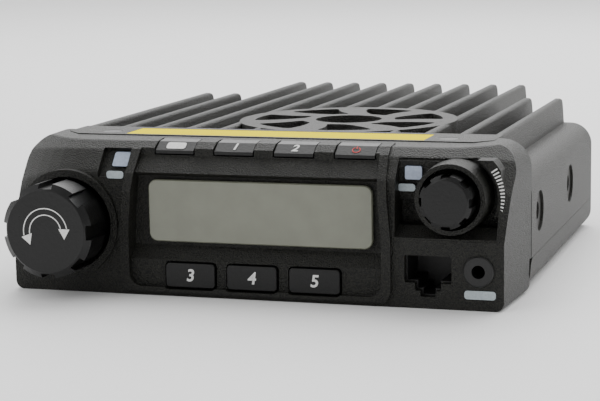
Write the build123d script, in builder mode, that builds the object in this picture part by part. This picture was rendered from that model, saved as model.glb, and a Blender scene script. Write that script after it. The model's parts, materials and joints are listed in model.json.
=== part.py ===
from build123d import *
from math import cos, radians, sin
import os

# Compact mobile transceiver: finned die-cast chassis, moulded front panel, knobs, keys and what they hold.
# The origin is at the middle of the underside, in the plane where the front panel meets the chassis.
# +X is to the right as seen from the front, +Y is to the back, +Z is up.  Sizes are in millimetres.

# ---- overall sizes -------------------------------------------------------------------------------------
WIDTH = 145.0              # over the chassis sides
HEIGHT = 42.5              # underside to fin tops
PANEL_DEPTH = 28.5         # front panel, from the seam forward
BODY_LENGTH = 111.0        # chassis, from the seam to the rear side panels
TAIL_LENGTH = 44.5         # finned middle of the chassis behind the rear side panels

# ---- fits ----------------------------------------------------------------------------------------------
GAP = 0.1                  # between parts that butt or sit in each other
KEY_GAP = 0.4              # around a key in its opening
RUN_GAP = 0.03             # radial, shaft in bush
SCREW_GAP = 0.25           # radial, screw in clearance hole

# ---- chassis -------------------------------------------------------------------------------------------
WALL = 3.0                 # side, rear and front walls
SHOULDER_Z = 34.3          # top of the casting under the fins
SHOULDER_R = 7.0
ROOF = 3.3                 # thickness under the fins
FIN_PITCH = 10.25
FIN_TOP = 2.5              # fin thickness at its top
FIN_ROOT = 3.7             # fin thickness at its root
FIN_NOSE_R = 3.0           # rounding where a fin turns down at the back
MAIN_FINS = 9
SIDE_FINS = 2              # on each side of the main fins
TAIL_FIN = 8.0             # how far the fins stand behind the tail
PLATE_FRONT = 9.5          # top plate reaches this far over the front panel
PLATE_BACK = 8.0           # and this far behind the seam
PLATE_HALF = 63.0
PLATE_T = 2.0
PLATE_CORNER = 5.0
STRIP_SIZE = (88.0, 13.0)  # recess for the bare strip on the plate
COVER_H = 9.3              # height of the bottom cover's flanges
BRACKET_Y = (13.2, 66.5)   # side holes for a mounting bracket
BRACKET_Z = 20.6
BRACKET_THREAD = 5.0       # M5
BRACKET_DEPTH = 8.0
BRACKET_SPOT = 11.6        # shallow seat round each hole
SPOT_DEPTH = 0.8

# ---- speaker and its grille ----------------------------------------------------------------------------
SPEAKER_X = 9.6
SPEAKER_Y = 38.5
SPEAKER_R = 28.0
DISC_R = 33.0
DISC_T = 2.2
WELL_WALL = 2.6
GRILLE_HOLE_R = 10.0
PETAL_IN = 14.0
PETAL_OUT = 28.5
PETALS = 7
CLOTH_T = 0.4

# ---- front panel ---------------------------------------------------------------------------------------
SKIN = 2.0                 # moulded wall
FRONT_HALF = 70.3          # half width at the very front: the sides are drafted
PANEL_TOP_R = 8.0
PANEL_FOOT_R = 2.5
KNEE_Z = 18.0              # the ends of the panel lean back above this
INNER_TOP = 38.2           # ceiling inside the panel

CENTRE_X = 1.1             # middle of the raised centre section
CENTRE_FOOT = 38.8         # its half width at the foot
CENTRE_HEAD = 36.6         # and at the head
RIM = 2.6                  # bead round the centre section
RIM_PROUD = 1.0
LENS_SIZE = (64.5, 17.4)
LENS_X = 1.8
LENS_Z = 23.4
LENS_FACE = 3.0            # display window's face, behind the panel's front
LENS_T = 2.0
LENS_R = 2.5
LENS_LEDGE = 1.5           # the window is bonded to a ledge this wide
WELL_FACE = 4.4            # floor round the display window
BROW_Z = 34.2              # the brow over the window
BAND_TOP = (6.0, 38.4)     # its textured slope ends here (back from the front, height)
SILL_Z = 13.6              # the slope under the window starts here

LOW_KEY = (14.4, 6.9)
LOW_KEY_PITCH = 17.9
LOW_KEY_X = 0.5            # middle key
LOW_KEY_Z = 5.9
LOW_KEY_NAMES = ("three", "four", "five")
TOP_KEY = (11.1, 7.3)      # width, depth
TOP_KEY_PITCH = 17.3
TOP_KEY_X = 2.5            # middle of the row
TOP_KEY_Z = 39.0           # underside
TOP_KEY_FRONT = 6.0
TOP_LEG = (7.0, 2.0)       # web that carries a top key down to its switch
TOP_LEG_BACK = 9.2
TOP_KEY_NAMES = ("menu", "one", "two", "power")
KEY_TRAVEL = 0.8
KEY_FLANGE = 1.0
KEY_R = 1.0

CHANNEL_X = -53.7
CHANNEL_Z = 19.4
COLLAR_R = 15.2
COLLAR_WALL = 2.0
COLLAR_PROUD = 0.6
COLLAR_FLOOR = 7.8         # knob well's floor, behind the panel's front
CHANNEL_R = 13.2           # over the grip lugs
CHANNEL_CORE = 11.8
CHANNEL_FACE = 15.0        # the knob's face stands this far in front of the panel
CHANNEL_BACK = 3.0         # the knob's skirt ends this far behind the panel's front
CHANNEL_LUGS = 8
CHANNEL_GROOVE = 4.0       # between two lugs
CHANNEL_GRIP = 4.5         # the lugs start this far in front of the panel

VOLUME_X = 56.0
VOLUME_Z = 29.6
HOOD_R = 10.3              # hood at its root
HOOD_LIP_R = 9.5
HOOD_BORE_R = 8.3
HOOD_PROUD = 0.8
VOLUME_R = 7.1
VOLUME_CORE = 6.3
VOLUME_FACE = 6.5
VOLUME_BACK = 5.0
VOLUME_LUGS = 8
VOLUME_GROOVE = 2.4
VOLUME_GRIP = -1.5
POCKET = (40.8, 68.2, 19.0, 39.6)   # left, right, bottom and top of the right-hand recess
POCKET_FLOOR = 9.0
SCALE_IN_R = 11.9          # raised scale beside the hood
SCALE_OUT_R = 14.6

LED_SIZE = (4.6, 3.6)
LEDS = ((-39.0, 37.2), (44.9, 35.7))   # transmit and power lamps
BADGE = (5.4, 1.9)         # raised blank pads under the lenses
DATA_BADGE = (8.2, 2.1)

MIC_X = 49.9
MIC_Z = 9.6
MIC_BODY = (15.6, 13.4)             # width, height
MIC_HOLE = (12.0, 6.6)              # plug opening
MIC_HOLE_Z = 10.6
MIC_LATCH = (6.3, 2.6)              # steps under it for the plug's latch
MIC_LATCH_LOW = (3.4, 1.6)
MIC_PLUG_DEPTH = 11.5
CONTACTS = 8
CONTACT_PITCH = 1.02
CONTACT_LENGTH = 6.0
DATA_X = 63.6
DATA_Z = 10.6
DATA_RING_R = 4.1
DATA_NECK_R = 3.0
DATA_BORE_R = 1.8
DATA_DEPTH = 12.5

SHAFT_R = 3.0
ENCODER_BODY = (12.4, 12.4)
ENCODER_BUSH_R = 4.5
POT_BODY = (10.2, 10.6)
POT_BUSH_R = 3.5
NUT_T = 1.9

# ---- boards and what they carry ------------------------------------------------------------------------
BOARD_T = 1.6
BOARD_BACK = 16.5          # front board's face, behind the panel's front
BOARD_HALF = 65.0
BOARD_TOP = 37.6
MAT_T = 0.8
MAIN_BOARD_Z = 9.0
LCD_T = 2.8
LIGHT_T = 3.5
POWER_MODULE = (66.0, 21.0, 9.8)

# ---- rear fittings -------------------------------------------------------------------------------------
SOCKET_X = 58.4
SOCKET_Z = 21.6
SOCKET_THREAD_R = 7.94     # 5/8 inch thread
SOCKET_FLANGE_R = 10.5
SOCKET_LENGTH = 16.0
SOCKET_BUSH_R = 6.5
GLAND_X = -62.0
GLAND_Z = 18.0
GLAND_R = 6.5
GLAND_NECK_R = 4.9
LEAD_R = 2.8
REAR_JACK_X = -49.6
REAR_JACK_Z = 24.0
REAR_NUT_R = 4.4

STRIP_T = 0.3
COVER_T = 1.9
COVER_R = 5.5              # rounding along the foot of both sides
COVER_FRONT = 2.0          # the cover reaches this far under the front panel
COVER_NOSE_R = 5.0
POST_R = 3.6
BOARD_POST_R = 3.0
JACK_BUSH_R = 3.0
LEAN_SPAN = 19.5           # how far in from each end the panel starts to lean back
LEAN_STEPS = 5
PANEL_BEND_R = 3.0

# ---- screws --------------------------------------------------------------------------------------------
M3 = 2.9                   # thread as drawn
PLATE_HEAD_R = 2.75
COVER_HEAD_R = 2.75
HEAD_T = 1.6
PLATE_SCREW_L = 8.0
COVER_SCREW_L = 9.0
BOARD_SCREW_L = 7.0
ROOF_HOLE = 2.6

# ---- worked out ----------------------------------------------------------------------------------------
HALF = WIDTH / 2
FRONT = -PANEL_DEPTH
BODY_BACK = BODY_LENGTH
FIN_BACK = BODY_LENGTH + TAIL_LENGTH
TAIL_BACK = FIN_BACK - TAIL_FIN
TAIL_HALF = (MAIN_FINS - 1) / 2 * FIN_PITCH + FIN_ROOT / 2 + 0.6
ROOF_Z = SHOULDER_Z - ROOF
SHANK_R = M3 / 2 - GAP / 2
SPEAKER_TOP = HEIGHT - DISC_T - GAP - CLOTH_T - GAP
STRIP_Y = (PLATE_BACK - PLATE_FRONT) / 2 - 0.6
SEAM = GAP / 2

os.makedirs("parts", exist_ok=True)


def save(part, name):
    """Label a finished piece and write its STEP file."""
    part.label = name
    export_step(part, f"parts/{name}.step")


def across(x):
    """Plane for a side profile: sketch x is the object's Y, sketch y is its Z; extrudes towards +X."""
    return Plane(origin=(x, 0, 0), x_dir=(0, 1, 0), z_dir=(1, 0, 0))


def facing(y):
    """Plane for a front view: sketch x is X, sketch y is Z; extrudes towards the viewer."""
    return Plane(origin=(0, y, 0), x_dir=(1, 0, 0), z_dir=(0, -1, 0))


def bar(x0, x1, y0, y1, z0, z1):
    """A plain block between two corners, for use outside the builders."""
    return Pos((x0 + x1) / 2, (y0 + y1) / 2, (z0 + z1) / 2) * Box(x1 - x0, y1 - y0, z1 - z0)


def rod(x, z, r, y0, y1):
    """A round bar along Y, for use outside the builders."""
    return Pos(x, (y0 + y1) / 2, z) * Rot(90, 0, 0) * Cylinder(r, y1 - y0)


def outline(half, foot, top, foot_r=0.0, top_r=0.0):
    """Front view outline between two heights, rounded at its lower and upper corners."""
    with BuildSketch(mode=Mode.PRIVATE) as shape:
        with Locations((0, foot)):
            Rectangle(2 * half, top - foot, align=(Align.CENTER, Align.MIN))
        if top_r:
            fillet(shape.vertices().group_by(Axis.Y)[-1], top_r)
        if foot_r:
            fillet(shape.vertices().group_by(Axis.Y)[0], foot_r)
    return shape.sketch


# ---- where the screws go -------------------------------------------------------------------------------
PLATE_SCREWS = [(-50.0, -3.2), (50.0, -3.2)]
COVER_SCREWS = [(side * x, y) for side in (-1, 1) for x, y in ((64.0, 8.0), (64.0, 101.0), (36.0, TAIL_BACK - 8))]
BOARD_SCREWS = [(side * 56.0, y) for side in (-1, 1) for y in (20.0, 88.0)]
PANEL_SCREWS = [(-35.4, 9.0), (-35.4, 30.0), (38.0, 9.0), (38.0, 27.0)]
MODULE_Y = BODY_BACK + 14.0
MODULE_SCREW_X = (-30.0, 30.0)


# ---- chassis -------------------------------------------------------------------------------------------
with BuildPart() as fin_run:
    # a drafted fin along the top, long enough for the longest run
    with BuildSketch(facing(PLATE_BACK - 1)):
        with BuildLine():
            Polyline(
                (-FIN_ROOT / 2, SHOULDER_Z - 0.5), (FIN_ROOT / 2, SHOULDER_Z - 0.5),
                (FIN_TOP / 2, HEIGHT), (-FIN_TOP / 2, HEIGHT), close=True,
            )
        make_face()
    extrude(amount=-(FIN_BACK - PLATE_BACK + 1))
    fillet(fin_run.edges().filter_by(Axis.Y).group_by(Axis.Z)[-1], FIN_TOP * 0.42)

with BuildPart() as fin_drop:
    # the same fin going down the back of the tail
    with BuildSketch(Plane.XY.offset(COVER_H + 1)):
        with BuildLine():
            Polyline(
                (-FIN_ROOT / 2, -TAIL_FIN - 0.5), (FIN_ROOT / 2, -TAIL_FIN - 0.5),
                (FIN_TOP / 2, 0), (-FIN_TOP / 2, 0), close=True,
            )
        make_face()
    extrude(amount=SHOULDER_Z - COVER_H - 1)
    fillet(fin_drop.edges().filter_by(Axis.Z).group_by(Axis.Y)[-1], FIN_TOP * 0.42)


def fin(x, back, drop):
    """One fin at x that ends at `back` with a rounded nose; `drop` takes it down the back of the tail too."""
    with BuildPart(mode=Mode.PRIVATE) as blade:
        add(fin_run.part)
        if drop:
            add(Pos(0, back, 0) * fin_drop.part)
        foot = COVER_H + 1 if drop else SHOULDER_Z - 0.5
        with BuildSketch(across(-FIN_ROOT)) as side:
            with Locations((back, foot)):
                Rectangle(back, HEIGHT - foot, align=(Align.MAX, Align.MIN))
            fillet(side.vertices().group_by(Axis.X)[-1].sort_by(Axis.Y)[-1], FIN_NOSE_R)
        extrude(amount=2 * FIN_ROOT, mode=Mode.INTERSECT)
    return Pos(x, 0, 0) * blade.part


main_half = (MAIN_FINS - 1) // 2
main_fin_x = [i * FIN_PITCH for i in range(-main_half, main_half + 1)]
side_fin_x = [side * (main_half + 1 + i) * FIN_PITCH for side in (-1, 1) for i in range(SIDE_FINS)]

with BuildPart() as petal_cut:
    # one curved slot of the grille, about the speaker's axis
    with BuildSketch(Plane.XY.offset(HEIGHT - DISC_T - 1)):
        with BuildLine():
            tips = [(PETAL_IN, 0), (PETAL_IN, 24), (PETAL_OUT, 42), (PETAL_OUT, 9)]
            a, b, c, d = [(r * cos(radians(t)), r * sin(radians(t))) for r, t in tips]
            ThreePointArc(a, (PETAL_IN * cos(radians(12)), PETAL_IN * sin(radians(12))), b)
            RadiusArc(b, c, 2.2 * PETAL_IN)
            ThreePointArc(c, (PETAL_OUT * cos(radians(25)), PETAL_OUT * sin(radians(25))), d)
            RadiusArc(d, a, -1.6 * PETAL_IN)
        make_face()
    extrude(amount=DISC_T + 2)
    fillet(petal_cut.edges().filter_by(Axis.Z), 1.2)

fins = [fin(x, FIN_BACK, True) for x in main_fin_x] + [fin(x, BODY_BACK, False) for x in side_fin_x]

with BuildPart() as chassis:
    # casting: wide body and narrower tail, hollow from below and open to the front panel
    with BuildSketch(facing(BODY_BACK)):
        add(outline(HALF, COVER_H + SEAM, SHOULDER_Z, top_r=SHOULDER_R))
    extrude(amount=BODY_BACK - SEAM)
    with BuildSketch(facing(TAIL_BACK)):
        add(outline(TAIL_HALF, COVER_H + SEAM, SHOULDER_Z))
    extrude(amount=TAIL_BACK - SEAM)
    add(fins)
    # speaker boss, flush with the fin tops
    with BuildSketch(Plane.XY.offset(SHOULDER_Z - 1)):
        with Locations((SPEAKER_X, SPEAKER_Y)):
            Circle(DISC_R)
    extrude(amount=HEIGHT - SHOULDER_Z + 1)
    # top plate that reaches over the front panel, its front corners clipped
    with BuildSketch(Plane.XY.offset(HEIGHT - PLATE_T)) as plate_shape:
        with Locations((0, PLATE_BACK)):
            Rectangle(2 * PLATE_HALF, PLATE_BACK + PLATE_FRONT, align=(Align.CENTER, Align.MAX))
        chamfer(plate_shape.vertices().group_by(Axis.Y)[0], PLATE_CORNER)
    extrude(amount=PLATE_T)
    # the plate stands on a wall behind the seam
    with BuildSketch(Plane.XY.offset(ROOF_Z)):
        with Locations((0, PLATE_BACK)):
            Rectangle(2 * PLATE_HALF, PLATE_BACK - SEAM, align=(Align.CENTER, Align.MAX))
    extrude(amount=HEIGHT - ROOF_Z)
    # hollow inside
    with BuildSketch(facing(0)):
        add(outline(HALF - WALL, COVER_H - 1, ROOF_Z, top_r=SHOULDER_R - WALL))
    extrude(amount=-(BODY_BACK - WALL), mode=Mode.SUBTRACT)
    with BuildSketch(facing(BODY_BACK - WALL - 1)):
        add(outline(TAIL_HALF - WALL, COVER_H - 1, ROOF_Z))
    extrude(amount=-(TAIL_BACK - BODY_BACK + 1), mode=Mode.SUBTRACT)
    # posts for the cover and board screws hang from the roof
    with BuildSketch(Plane.XY.offset(COVER_T + GAP)):
        with Locations(*COVER_SCREWS):
            Circle(POST_R)
    extrude(amount=ROOF_Z - COVER_T)
    with BuildSketch(Plane.XY.offset(MAIN_BOARD_Z + BOARD_T)):
        with Locations(*BOARD_SCREWS):
            Circle(BOARD_POST_R)
    extrude(amount=ROOF_Z - MAIN_BOARD_Z)
    # bosses behind the bracket holes
    for side in (-1, 1):
        with Locations(*[Plane((side * (HALF - 1), y, BRACKET_Z), z_dir=(-side, 0, 0)) for y in BRACKET_Y]):
            Cylinder(BRACKET_THREAD + 1, BRACKET_DEPTH, align=(Align.CENTER, Align.CENTER, Align.MIN))
    # speaker well, open to the inside, and the grille over it
    with BuildSketch(Plane.XY.offset(ROOF_Z - 1)):
        with Locations((SPEAKER_X, SPEAKER_Y)):
            Circle(DISC_R - WELL_WALL)
    extrude(amount=HEIGHT - DISC_T - ROOF_Z + 1, mode=Mode.SUBTRACT)
    with BuildSketch(Plane.XY.offset(HEIGHT - DISC_T - 1)):
        with Locations((SPEAKER_X, SPEAKER_Y)):
            Circle(GRILLE_HOLE_R)
    extrude(amount=DISC_T + 2, mode=Mode.SUBTRACT)
    turns = [Rot(0, 0, 360 / PETALS * i) for i in range(PETALS)]
    add([Pos(SPEAKER_X, SPEAKER_Y, 0) * turn * petal_cut.part for turn in turns], mode=Mode.SUBTRACT)
    # shallow recess for the strip on the plate
    with BuildSketch(Plane.XY.offset(HEIGHT - STRIP_T)):
        with Locations((0, STRIP_Y)):
            Rectangle(*STRIP_SIZE)
    extrude(amount=STRIP_T + 1, mode=Mode.SUBTRACT)
    # countersunk holes through the plate
    with Locations(*[(x, y, HEIGHT) for x, y in PLATE_SCREWS]):
        CounterSinkHole(M3 / 2 + SCREW_GAP, PLATE_HEAD_R + GAP, depth=PLATE_T + 1)
    # tapped holes in the posts, from below
    with Locations(*[Plane((x, y, COVER_T + GAP), z_dir=(0, 0, -1)) for x, y in COVER_SCREWS]):
        Hole(M3 / 2, depth=COVER_SCREW_L)
    with Locations(*[Plane((x, y, MAIN_BOARD_Z + BOARD_T), z_dir=(0, 0, -1)) for x, y in BOARD_SCREWS]):
        Hole(M3 / 2, depth=BOARD_SCREW_L)
    with Locations(*[Plane((x, MODULE_Y, ROOF_Z), z_dir=(0, 0, -1)) for x in MODULE_SCREW_X]):
        Hole(M3 / 2, depth=ROOF_HOLE)
    # bracket holes in both sides, each in a shallow round seat
    for side in (-1, 1):
        wall = [Plane((side * HALF, y, BRACKET_Z), z_dir=(side, 0, 0)) for y in BRACKET_Y]
        with Locations(*wall):
            CounterBoreHole(BRACKET_THREAD / 2, BRACKET_SPOT / 2, SPOT_DEPTH, depth=BRACKET_DEPTH + 2)
    # rear fittings
    with Locations(Plane((SOCKET_X, BODY_BACK, SOCKET_Z), z_dir=(0, 1, 0))):
        Hole(SOCKET_BUSH_R + GAP, depth=WALL + 1)
    with Locations(Plane((GLAND_X, BODY_BACK, GLAND_Z), z_dir=(0, 1, 0))):
        Hole(GLAND_NECK_R + GAP, depth=WALL + 1)
    with Locations(Plane((REAR_JACK_X, BODY_BACK, REAR_JACK_Z), z_dir=(0, 1, 0))):
        Hole(JACK_BUSH_R + GAP, depth=WALL + 1)
save(chassis.part, "chassis")

with BuildPart() as label_strip:
    with BuildSketch(Plane.XY.offset(HEIGHT - STRIP_T)):
        with Locations((0, STRIP_Y)):
            Rectangle(STRIP_SIZE[0] - GAP, STRIP_SIZE[1] - GAP)
    extrude(amount=STRIP_T - 0.05)
save(label_strip.part, "label_strip")

# ---- bottom cover --------------------------------------------------------------------------------------
with BuildPart() as bottom_cover:
    # a tray with the casting's plan, its long edges well rounded
    with BuildSketch(facing(BODY_BACK)):
        add(outline(HALF, 0, COVER_H - SEAM, foot_r=COVER_R))
    extrude(amount=BODY_BACK + COVER_FRONT)
    with BuildSketch(facing(TAIL_BACK)):
        add(outline(TAIL_HALF, 0, COVER_H - SEAM, foot_r=2.0))
    extrude(amount=TAIL_BACK)
    with BuildSketch(facing(-COVER_FRONT - 1)):
        add(outline(HALF - COVER_T, COVER_T, COVER_H + 1, foot_r=COVER_R - COVER_T))
    extrude(amount=-(BODY_BACK + COVER_FRONT + 1 - COVER_T), mode=Mode.SUBTRACT)
    with BuildSketch(facing(BODY_BACK - COVER_T - 1)):
        add(outline(TAIL_HALF - COVER_T, COVER_T, COVER_H + 1))
    extrude(amount=-(TAIL_BACK - BODY_BACK + 1), mode=Mode.SUBTRACT)
    # the flanges' front ends are rounded down to the panel
    with BuildSketch(across(-HALF - 1)):
        with Locations((-COVER_FRONT, COVER_H - SEAM)):
            Rectangle(COVER_NOSE_R, COVER_NOSE_R, align=(Align.MIN, Align.MAX))
        with Locations((-COVER_FRONT + COVER_NOSE_R, COVER_H - SEAM - COVER_NOSE_R)):
            Circle(COVER_NOSE_R, mode=Mode.SUBTRACT)
    extrude(amount=WIDTH + 2, mode=Mode.SUBTRACT)
    with Locations(*[Plane((x, y, 0), z_dir=(0, 0, -1)) for x, y in COVER_SCREWS]):
        CounterSinkHole(M3 / 2 + SCREW_GAP, COVER_HEAD_R + GAP, depth=COVER_T + 1)
save(bottom_cover.part, "bottom_cover")

# ---- front panel ---------------------------------------------------------------------------------------
def lean(t, skin):
    """Side profile of the panel's front: t is 0 in the middle and 1 at the ends, where it leans back more."""
    foot, head = (FRONT + skin, SKIN if skin else 0), (FRONT + skin, KNEE_Z)
    bend = (FRONT + skin + 1 + 7 * t, 34 - 4.5 * t)
    brow = (FRONT + skin + 6 + 9.5 * t, 39.8 - 1.8 * t)
    if skin:
        share = (INNER_TOP - bend[1]) / (brow[1] - bend[1])
        top = (bend[0] + share * (brow[0] - bend[0]), INNER_TOP)
        return [foot, head, bend, top, (0, INNER_TOP), (0, SKIN)]
    crown = (FRONT + 10 + 14 * t, 42 + 0.5 * t)
    return [foot, head, bend, brow, crown, (-SEAM, HEIGHT), (-SEAM, 0)]


def panel_block(skin):
    """The panel's outer shape, or with a skin the hollow inside it."""
    steps = [i / LEAN_STEPS for i in range(LEAN_STEPS + 1)]
    ends = [(HALF - skin - LEAN_SPAN * (1 - step), step**1.6) for step in steps]
    stations = [(-x, t) for x, t in reversed(ends)] + ends
    with BuildPart() as block:
        for x, t in stations:
            with BuildSketch(across(x)) as profile:
                with BuildLine():
                    Polyline(*lean(t, skin), close=True)
                make_face()
                if not skin:
                    bends = profile.vertices().sort_by(Axis.X)
                    fillet([v for v in bends if v.Y > KNEE_Z + 1 and v.X < -1], PANEL_BEND_R)
        loft(ruled=True)
    top = INNER_TOP if skin else HEIGHT
    foot_r = PANEL_FOOT_R - skin / 2
    with BuildPart() as tube:
        with BuildSketch(facing(1)):
            add(outline(HALF - skin, skin, top, foot_r=foot_r, top_r=PANEL_TOP_R - skin))
        with BuildSketch(facing(FRONT - 1)):
            add(outline(FRONT_HALF - skin, skin, top, foot_r=foot_r, top_r=PANEL_TOP_R - skin))
        loft()
    return block.part & tube.part


def centre_outline(inset):
    """Front view of the raised centre section, narrower at its head."""
    foot, head = CENTRE_FOOT - inset, CENTRE_HEAD - inset
    with BuildSketch(mode=Mode.PRIVATE) as shape:
        with BuildLine():
            Polyline(
                (CENTRE_X - foot, inset), (CENTRE_X + foot, inset), (CENTRE_X + foot, KNEE_Z),
                (CENTRE_X + head, HEIGHT + inset), (CENTRE_X - head, HEIGHT + inset), (CENTRE_X - foot, KNEE_Z),
                close=True,
            )
        make_face()
        fillet(shape.vertices().group_by(Axis.Y)[0], 5.0 - inset / 2)
    return shape.sketch


def side_cut(points, x0, x1):
    """A block with a side profile given as (distance behind the panel's front, height)."""
    with BuildPart() as block:
        with BuildSketch(across(x0)):
            with BuildLine():
                Polyline(*[(FRONT + back, z) for back, z in points], close=True)
            make_face()
        extrude(amount=x1 - x0)
    return block.part


def ring(x, z, r_out, r_in, back0, back1, r_front=None):
    """A tube along Y between two distances behind the panel's front; it may taper to r_front at its front."""
    with BuildPart() as tube:
        with BuildSketch(facing(FRONT + back1)):
            with Locations((x, z)):
                Circle(r_out)
        if r_front:
            with BuildSketch(facing(FRONT + back0)):
                with Locations((x, z)):
                    Circle(r_front)
            loft()
        else:
            extrude(amount=back1 - back0)
        if r_in:
            with BuildSketch(facing(FRONT + back1)):
                with Locations((x, z)):
                    Circle(r_in)
            extrude(amount=back1 - back0, mode=Mode.SUBTRACT)
    return tube.part


centre_left, centre_right = CENTRE_X - CENTRE_FOOT - 1, CENTRE_X + CENTRE_FOOT + 1
rim_side = [(0.4, 0), (-RIM_PROUD, 1.4), (-RIM_PROUD, 29), (0.6, 34), (5.4, 40.2), (9, 42.1), (14, HEIGHT), (14, 0)]
recess_front = [(-3, RIM), (0.6, RIM), (0.8, 10.0), (WELL_FACE, SILL_Z), (WELL_FACE, 33.0)]
recess_front += [(1.5, BROW_Z), BAND_TOP, (BAND_TOP[0], HEIGHT + 1), (-3, HEIGHT + 1)]
backing = [(2.8, 0), (2.8, 10.2), (WELL_FACE + SKIN, 14.4), (WELL_FACE + SKIN, 35.6), (9, 37), (15, 37)]
backing += [(15, HEIGHT), (-5, HEIGHT), (-5, 0)]

low_key_x = [LOW_KEY_X + i * LOW_KEY_PITCH for i in (-1, 0, 1)]
top_key_x = [TOP_KEY_X + (i - 1.5) * TOP_KEY_PITCH for i in range(4)]
pocket_l, pocket_r, pocket_b, pocket_t = POCKET


def rounded(x, z, size, r, back0, back1):
    """A rounded block along Y between two distances behind the panel's front."""
    with BuildPart() as block:
        with BuildSketch(facing(FRONT + back1)):
            with Locations((x, z)):
                RectangleRounded(size[0], size[1], r)
        extrude(amount=back1 - back0)
    return block.part


def slab(x0, x1, back0, back1, z0, z1):
    """A block placed by its distance behind the panel's front."""
    return bar(x0, x1, FRONT + back0, FRONT + back1, z0, z1)


def grown(size, margin):
    """A width and height with the same margin all round."""
    return (size[0] + 2 * margin, size[1] + 2 * margin)


with BuildPart() as centre_block:
    with BuildSketch(facing(-1)):
        add(centre_outline(0))
    extrude(amount=PANEL_DEPTH + 5)
with BuildPart() as centre_recess:
    with BuildSketch(facing(FRONT + 20)):
        add(centre_outline(RIM))
    extrude(amount=30)
with BuildPart() as plate_seat:
    with BuildSketch(Plane.XY.offset(HEIGHT - PLATE_T - GAP)) as seat_shape:
        with Locations((0, PLATE_BACK)):
            Rectangle(2 * (PLATE_HALF + GAP), PLATE_BACK + PLATE_FRONT + GAP, align=(Align.CENTER, Align.MAX))
        chamfer(seat_shape.vertices().group_by(Axis.Y)[0], PLATE_CORNER)
    extrude(amount=PLATE_T + 1)
with BuildPart() as plate_boss:
    with Locations(*[(x, y, ROOF_Z) for x, y in PLATE_SCREWS]):
        Cylinder(2 * M3 / 2, HEIGHT - PLATE_T - 1 - ROOF_Z, align=(Align.CENTER, Align.CENTER, Align.MIN))
with BuildPart() as plate_thread:
    with Locations(*[(x, y, ROOF_Z + 2) for x, y in PLATE_SCREWS]):
        Cylinder(M3 / 2, HEIGHT - ROOF_Z, align=(Align.CENTER, Align.CENTER, Align.MIN))

outer = panel_block(0)
shell = outer - panel_block(SKIN)
cover_notch = bar(-HALF - 1, HALF + 1, -COVER_FRONT - GAP, 1, -1, COVER_H + GAP)
centre_rim = centre_block.part & side_cut(rim_side, centre_left, centre_right)
centre_body = centre_rim & side_cut(backing, centre_left, centre_right)
recess = centre_recess.part & side_cut(recess_front, centre_left, centre_right)
pocket_back = POCKET_FLOOR + SKIN
pocket_wall = outer & slab(pocket_l - 1, pocket_r + SKIN, 0, pocket_back, pocket_b - SKIN, INNER_TOP + 1)
pocket = slab(pocket_l, pocket_r, -5, POCKET_FLOOR, pocket_b, pocket_t)
pocket_foot = side_cut(
    [(0, KNEE_Z - 1), (0, KNEE_Z + 0.4), (5, pocket_b + 2.6), (POCKET_FLOOR + 1, pocket_b + 2.6),
     (POCKET_FLOOR + 1, KNEE_Z - 1)], pocket_l - 0.5, pocket_r + 0.5)
lamp_block = side_cut(
    [(6.4, 28.4), (POCKET_FLOOR + 1, 28.4), (POCKET_FLOOR + 1, 39.8), (7.4, 40.4), (5.4, 38.8)],
    pocket_l - 0.5, pocket_l + 12.4)
lamp_seat = outer & slab(LEDS[0][0] - 6.6, centre_left + 3.4, 1, 10.5, 31, INNER_TOP + 1)
lamp_groove = side_cut([(-1.5, 33), (2.2, 32.6), (7.6, 39.2), (5, 42), (-3, 42)], LEDS[0][0] - 5.6, centre_left + 2.4)
hood = ring(VOLUME_X, VOLUME_Z, HOOD_R, None, -HOOD_PROUD, pocket_back, r_front=HOOD_LIP_R)
hood_bore = ring(VOLUME_X, VOLUME_Z, HOOD_BORE_R, None, -3, POCKET_FLOOR)
scale = ring(VOLUME_X, VOLUME_Z, SCALE_OUT_R, SCALE_IN_R, 4.0, POCKET_FLOOR + 1)
scale = scale & slab(VOLUME_X + 5, pocket_r + 0.5, 3, POCKET_FLOOR + 1, VOLUME_Z - 5, pocket_t)
collar = ring(CHANNEL_X, CHANNEL_Z, COLLAR_R, None, -COLLAR_PROUD, COLLAR_FLOOR + SKIN)
collar_bore = ring(CHANNEL_X, CHANNEL_Z, COLLAR_R - COLLAR_WALL, None, -3, COLLAR_FLOOR)
encoder_hole = ring(CHANNEL_X, CHANNEL_Z, ENCODER_BUSH_R + GAP, None, 0, 20)
pot_hole = ring(VOLUME_X, VOLUME_Z, POT_BUSH_R + GAP, None, 0, 20)
lens_seat = rounded(LENS_X, LENS_Z, grown(LENS_SIZE, GAP), LENS_R + GAP, -3, LENS_FACE + LENS_T)
lens_window = rounded(LENS_X, LENS_Z, grown(LENS_SIZE, -LENS_LEDGE), LENS_R - 1, -3, WELL_FACE + SKIN + 1)
low_holes = [rounded(x, LOW_KEY_Z, grown(LOW_KEY, KEY_GAP), KEY_R + KEY_GAP, -3, 6) for x in low_key_x]
top_half = TOP_KEY[0] / 2 + KEY_GAP
top_back = TOP_KEY_FRONT + TOP_KEY[1] + KEY_TRAVEL + KEY_GAP
top_notches = [slab(x - top_half, x + top_half, 3, top_back, TOP_KEY_Z - KEY_GAP, 50) for x in top_key_x]
leg_half = TOP_LEG[0] / 2 + KEY_GAP
leg_back = TOP_LEG_BACK + TOP_LEG[1] + KEY_TRAVEL + KEY_GAP
leg_slots = [slab(x - leg_half, x + leg_half, TOP_LEG_BACK - KEY_GAP, leg_back, 33, 40) for x in top_key_x]
lamp_holes = [rounded(x, z, grown(LED_SIZE, GAP), 0.6, -3, 20) for x, z in LEDS]
latch_z = MIC_HOLE_Z - MIC_HOLE[1] / 2 - MIC_LATCH[1] / 2
latch_low_z = latch_z - MIC_LATCH[1] / 2 - MIC_LATCH_LOW[1] / 2
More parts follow.
